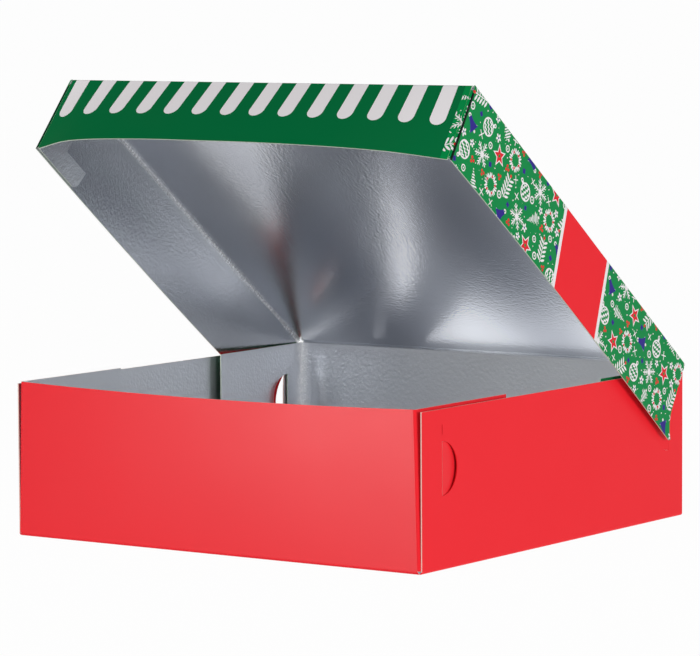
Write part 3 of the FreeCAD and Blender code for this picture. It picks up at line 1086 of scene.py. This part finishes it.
def makeLidFlap(hand, side):
    look = {
        "flapLength": 19 * mm,
        "hookLength": 38 * mm,
        "hookDrop": 31 * mm,
        "hookCorner": 4 * mm,
        "stripTop": 3 * mm,
        "stripWidth": 0.4 * mm,
        "shoulder": 13 * mm,
        "bottom": 41.2 * mm,
        "nestGap": 0.1 * mm,
        "standOff": 1.3 * mm,
    }
    face = lidPanelHalf + foldRadius - thickness - look["nestGap"]

    def place(u, v, depth):
        out, along = quarterTurn(u, depth)
        drop = max(0.0, v - look["shoulder"]) / (look["bottom"] - look["shoulder"])
        curl = math.sin(math.pi * drop) * min(riseShare(along, look["flapLength"]), 1)
        out += flangeOut(lidFront + along, v) - look["standOff"] * curl
        return openLid @ Vector((side * (face - foldRadius + out), lidFront + along, lidTop - v))

    def onSheet(u, v):
        return side * (frontFlangeHalf + u), panelLow.y - v

    step, tip, corner = look["flapLength"] + wallRun, look["hookLength"] + wallRun, look["hookCorner"]
    strip, shoulder, bottom = foldLength + look["stripWidth"], look["shoulder"], look["bottom"]
    outline = [(0, look["stripTop"]), (strip, look["stripTop"]), (strip, shoulder), (step, shoulder)]
    outline += [(step, look["hookDrop"]), (tip, look["hookDrop"])]
    outline += arcPoints((tip - corner, bottom - corner), corner, 0, 90, board["cornerSteps"])
    outline += [(0, bottom)]
    foldBlank(
        f"lid_{hand}_corner_flap_board", "lid", f"lid_{hand}_corner_flap", "patterned_board",
        outline, place, (), riseCuts(tip), evenCuts(look["stripTop"], bottom), onSheet, foldAxis=0,
    )


makeLidPanel()
makeFrontFlange()
for hand, side in (("left", -1), ("right", 1)):
    makeSideFlange(hand, side)
    makeLidFlap(hand, side)
print("lid made")


def makeLidCrease():
    # The bent strip of board between the back wall and the lid, which the hinge joint stands in for.
    # It shows as one line of board from outside and in.
    look = {
        "bulge": 0.35 * mm,
        "innerShare": 1 / 3,
        "lidBulge": 0.04 * mm,
        "steps": 6,
        "lidGap": 0.2 * mm,
        "endGap": 0.4 * mm,
    }
    lidward = (openTurn @ Vector((0, -1, 0, 0))).to_3d()

    def bend(depth, bulge):
        # the guide points of a curve that leaves the wall upwards and meets the lid in the lid's plane
        start = Vector((0, endFace - depth, trayHeight))
        end = openLid @ Vector((0, hinge.y - look["lidGap"], lidTop - depth))
        return start, start + Vector((0, 0, bulge)), end - lidward * look["lidBulge"], end

    outer = bend(0, look["bulge"])
    inner = bend(thickness, look["bulge"] * look["innerShare"])

    def place(u, v, depth):
        # v runs from 0 at the wall to 1 at the lid
        shares = ((1 - v) ** 3, 3 * v * (1 - v) ** 2, 3 * v * v * (1 - v), v**3)
        guides = inner if depth > thickness / 2 else outer
        return sum((guide * share for guide, share in zip(guides, shares)), Vector((u, 0, 0)))

    half = endWallHalf - look["endGap"]
    crease = foldBlank(
        "lid_crease", None, None, "green_board", boxPoints(-half, 0, half, 1), place,
        cutsV=evenCuts(0, 1, 1 / look["steps"]), foldAxis=None,
    )
    innerStart, outerEnd = inner[0], outer[-1]
    tuple(innerStart)
    tuple(outerEnd)
    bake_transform(crease)


makeLidCrease()
print("crease made")


# The studio

studio = {
    "yaw": -34.903,
    "pitch": 5.191,
    "roll": -0.310,
    "focalPixels": 3925.3,
    "frameWidth": 700,
    "sensorWidth": 36.0,
    "clipEnd": 200.0,
    "place": (1114.7 * mm, -1601.8 * mm, 276.4 * mm),
    "floorSize": 60.0,
    "floorTone": 149,
    "floorGlow": 0.5,
    "floorWhite": 0.96,
    "floorDrop": 0.1 * mm,
    "horizonLight": 0.9,
    "zenithLight": 0.12,
    "zenithClimb": 1.6,
    "leftShare": 0.35,
    "leftFall": 1.5,
}

# The key and side lamps light the whole box. Each of the others reaches only the boards that it names and
# makes them shine: the front wall, the lid's foil in three bands, and the foil in the tray's back corner.
frontSheen = {"lights": False, "only": ["front_wall_board"]}
lidSheen = {"lights": False, "only": ["lid_panel_board"]}
backCorner = {"only": ["back_left_flap_board", "back_wall_board"]}
lamps = {
    "key_lamp": {"place": (-0.5, -1.7, 1.2), "aim": (0, 0, 0.1), "size": (1.4, 1.0), "power": 20.1},
    "side_lamp": {
        "place": (2.0, -0.3, 0.3),
        "aim": (0, 0, 0.1),
        "size": (0.7, 0.4),
        "power": 15.4,
        "shines": False,
    },
    "sheen_lamp": {
        "place": (-0.2, -0.6, 0.05),
        "aim": (0.12, -0.12, 0.05),
        "size": (0.16, 0.08),
        "power": 4.4,
        **frontSheen,
    },
    "glow_lamp": {
        "place": (0.01, 0.117, 0.046),
        "aim": (0.01, 0, 0.06),
        "size": (0.11, 0.05),
        "power": 0.0095,
        **lidSheen,
    },
    "streak_low_lamp": {
        "place": (-0.092, 0.06, 0.004),
        "aim": (-0.062, 0.06, 0.104),
        "size": (0.115, 0.005),
        "power": 0.0036,
        "roll": -5,
        **lidSheen,
    },
    "streak_end_lamp": {
        "place": (-0.0925, 0.117, 0.038),
        "aim": (-0.0925, 0, 0.038),
        "size": (0.006, 0.083),
        "power": 0.00025,
        "roll": 33,
        **lidSheen,
    },
    "corner_lamp": {
        "place": (0.75, -1.1, 0.35),
        "aim": (-0.12, 0.12, 0.05),
        "size": (0.3, 0.3),
        "power": 3.4,
        **backCorner,
    },
}


def makeCamera():
    sight = bpy.data.cameras.new("camera")
    sight.sensor_width = studio["sensorWidth"]
    sight.lens = studio["focalPixels"] / studio["frameWidth"] * sight.sensor_width
    sight.clip_end = studio["clipEnd"]
    camera = bpy.data.objects.new("camera", sight)
    bpy.context.scene.collection.objects.link(camera)
    bpy.context.scene.camera = camera
    yaw, pitch, roll = (math.radians(studio[name]) for name in ("yaw", "pitch", "roll"))
    ahead = Vector((math.sin(yaw) * math.cos(pitch), math.cos(yaw) * math.cos(pitch), -math.sin(pitch)))
    level = Vector((math.cos(yaw), -math.sin(yaw), 0))
    rise = level.cross(ahead)
    right = math.cos(roll) * level + math.sin(roll) * rise
    upward = math.cos(roll) * rise - math.sin(roll) * level
    turn = Matrix((right, upward, -ahead)).transposed().to_4x4()
    camera.matrix_world = Matrix.Translation(studio["place"]) @ turn


def makeFloor():
    bm = bmesh.new()
    bmesh.ops.create_grid(bm, x_segments=1, y_segments=1, size=studio["floorSize"])
    bmesh.ops.translate(bm, verts=bm.verts[:], vec=(0, 0, -studio["floorDrop"]))
    paint = newPaint("floor")
    tone = studio["floorTone"]
    paint.set(Base_Color=srgb(tone, tone, tone), Roughness=1.0, Emission_Color=(1, 1, 1, 1))
    paint.set(Specular_IOR_Level=0.0, Emission_Strength=studio["floorGlow"])
    # The camera and the foil see most of it as plain white, and the rest keeps the box's shadow. From
    # underneath it is clear, so that the base can be looked at.
    output = paint.tree.nodes["Material Output"].inputs["Surface"]
    white = paint.node("ShaderNodeEmission", inputs={"Color": (1, 1, 1, 1), "Strength": 1.0})
    own = Wire(paint, paint.shader.outputs["BSDF"])
    share = paint.seen() * studio["floorWhite"]
    top = paint.node("ShaderNodeMixShader", inputs={"0": share, "1": own, "2": white})
    under = paint.node("ShaderNodeNewGeometry", output="Backfacing")
    clear = paint.node("ShaderNodeBsdfTransparent")
    paint.link(paint.node("ShaderNodeMixShader", inputs={"0": under, "1": top, "2": clear}), output)
    addPiece("floor", bm, [paint.owner])


def makeLamp(name, place, aim, size, power, lights=True, shines=True, only=(), roll=0.0):
    # a soft panel lamp that the camera doesn't see
    lamp = bpy.data.lights.new(name, "AREA")
    lamp.shape = "RECTANGLE"
    lamp.size, lamp.size_y = size
    lamp.energy = power
    holder = bpy.data.objects.new(name, lamp)
    bpy.context.scene.collection.objects.link(holder)
    holder.visible_camera = False
    holder.visible_diffuse, holder.visible_glossy = lights, shines
    if only:
        receivers = bpy.data.collections.new(name + "_receivers")
        for receiver in only:
            receivers.objects.link(bpy.data.objects[receiver])
        holder.light_linking.receiver_collection = receivers
    facing = (Vector(aim) - Vector(place)).to_track_quat("-Z", "Y").to_matrix().to_4x4()
    spin = Matrix.Rotation(math.radians(roll), 4, "Z")
    holder.matrix_world = Matrix.Translation(place) @ facing @ spin


def makeWorld():
    # bright round the horizon, dim overhead and to the left, and plain white where the camera sees it
    world = bpy.data.worlds.new("studio")
    bpy.context.scene.world = world
    paint = Paint(world)
    across, _, rise = paint.parts(paint.node("ShaderNodeTexCoord", output="Generated"))
    climb = (rise * studio["zenithClimb"] | 0) & 1
    light = studio["horizonLight"] + climb * (studio["zenithLight"] - studio["horizonLight"])
    light = light * ((1 + across * studio["leftFall"] | studio["leftShare"]) & 1)
    camera = paint.node("ShaderNodeLightPath", output="Is Camera Ray")
    paint.link(light | camera, paint.tree.nodes["Background"].inputs["Strength"])
    paint.link((1, 1, 1, 1), paint.tree.nodes["Background"].inputs["Color"])


makeCamera()
makeFloor()
makeWorld()
for name, lamp in lamps.items():
    makeLamp(name, **lamp)
bpy.context.scene.view_settings.view_transform = "Standard"
print("studio made")
